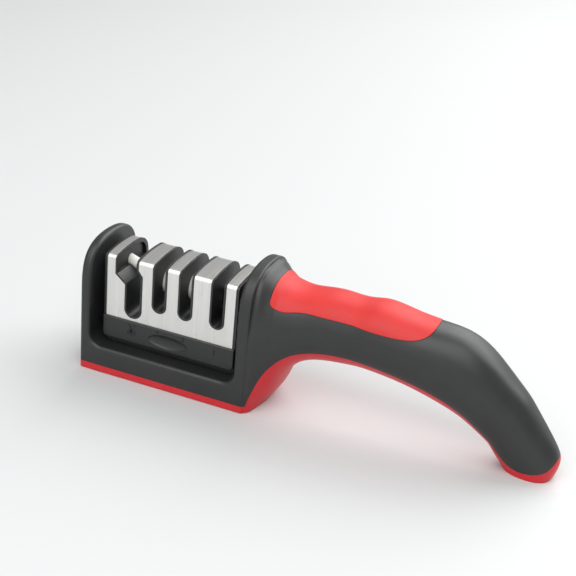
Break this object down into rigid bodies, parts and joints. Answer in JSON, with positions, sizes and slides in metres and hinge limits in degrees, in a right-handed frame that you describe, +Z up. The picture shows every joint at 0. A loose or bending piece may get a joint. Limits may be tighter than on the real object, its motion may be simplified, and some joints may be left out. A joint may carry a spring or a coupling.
{
  "type": "pull through knife sharpener",
  "caption": "Hand-held pull-through sharpener: arched handle on a cradle that holds a lift-out steel-covered cartridge with knife and scissors slots.",
  "frame": {"origin": "middle of the outline on the table under the part", "axes": "+X from the cradle end to the tip of the handle, +Y to the rear of the view in the picture, +Z up from the table"},
  "size_m": [0.2334, 0.045, 0.0678],
  "materials": {
    "black_plastic": "satin black ABS with a fine texture",
    "red_plastic": "satin red ABS",
    "red_rubber": "soft red thermoplastic rubber",
    "black_rubber": "black rubber",
    "screw_steel": "zinc-plated steel",
    "inner_plastic": "plain black plastic",
    "button_plastic": "red ABS",
    "spring_steel": "spring wire",
    "cartridge_plastic": "satin black ABS",
    "brushed_cover": "stainless sheet brushed along its length",
    "white_ceramic": "fine unglazed white ceramic",
    "axle_steel": "ground steel pin",
    "carbide": "sintered tungsten carbide"
  },
  "bodies": {
    "base": {"main_body": "black_plastic", "base_cover": "red_plastic", "top_grip": "red_rubber", "non_slip_pad": "black_rubber", "base_screws": "screw_steel", "button_housing": "inner_plastic", "button_housing_screws": "screw_steel", "button_spring": "spring_steel"},
    "cartridge": {"cartridge_front_half": "cartridge_plastic", "cartridge_rear_half": "cartridge_plastic", "steel_cover": "brushed_cover", "cartridge_screws": "screw_steel", "scissors_rod": "white_ceramic", "medium_axle": "axle_steel", "fine_axle": "axle_steel", "carbide_blade_front": "carbide", "carbide_blade_rear": "carbide", "blade_holder": "inner_plastic", "holder_screw": "screw_steel"},
    "release_button": {"release_button": "button_plastic"},
    "medium_wheel_left": {"medium_wheel_left": "white_ceramic"},
    "medium_wheel_right": {"medium_wheel_right": "white_ceramic"},
    "fine_wheel_left": {"fine_wheel_left": "white_ceramic"},
    "fine_wheel_right": {"fine_wheel_right": "white_ceramic"}
  },
  "joints": [
    {"name": "cartridge_lift", "type": "slide", "parent": "base", "child": "cartridge", "axis": [0, 0, 1], "range_m": [0, 0.062]},
    {"name": "button_press", "type": "slide", "parent": "base", "child": "release_button", "axis": [1, 0, 0], "range_m": [0, 0.002], "stiffness_N_per_m": 800, "springref_m": -0.002, "deforming": ["button_spring"]},
    {"name": "medium_wheel_left_spin", "type": "hinge", "parent": "cartridge", "child": "medium_wheel_left", "pos_m": [-0.0715, 0, 0.046], "axis": [1, 0, 0], "continuous": true},
    {"name": "medium_wheel_right_spin", "type": "hinge", "parent": "cartridge", "child": "medium_wheel_right", "pos_m": [-0.0715, 0, 0.046], "axis": [1, 0, 0], "continuous": true},
    {"name": "fine_wheel_left_spin", "type": "hinge", "parent": "cartridge", "child": "fine_wheel_left", "pos_m": [-0.0582, 0, 0.046], "axis": [1, 0, 0], "continuous": true},
    {"name": "fine_wheel_right_spin", "type": "hinge", "parent": "cartridge", "child": "fine_wheel_right", "pos_m": [-0.0582, 0, 0.046], "axis": [1, 0, 0], "continuous": true}
  ]
}
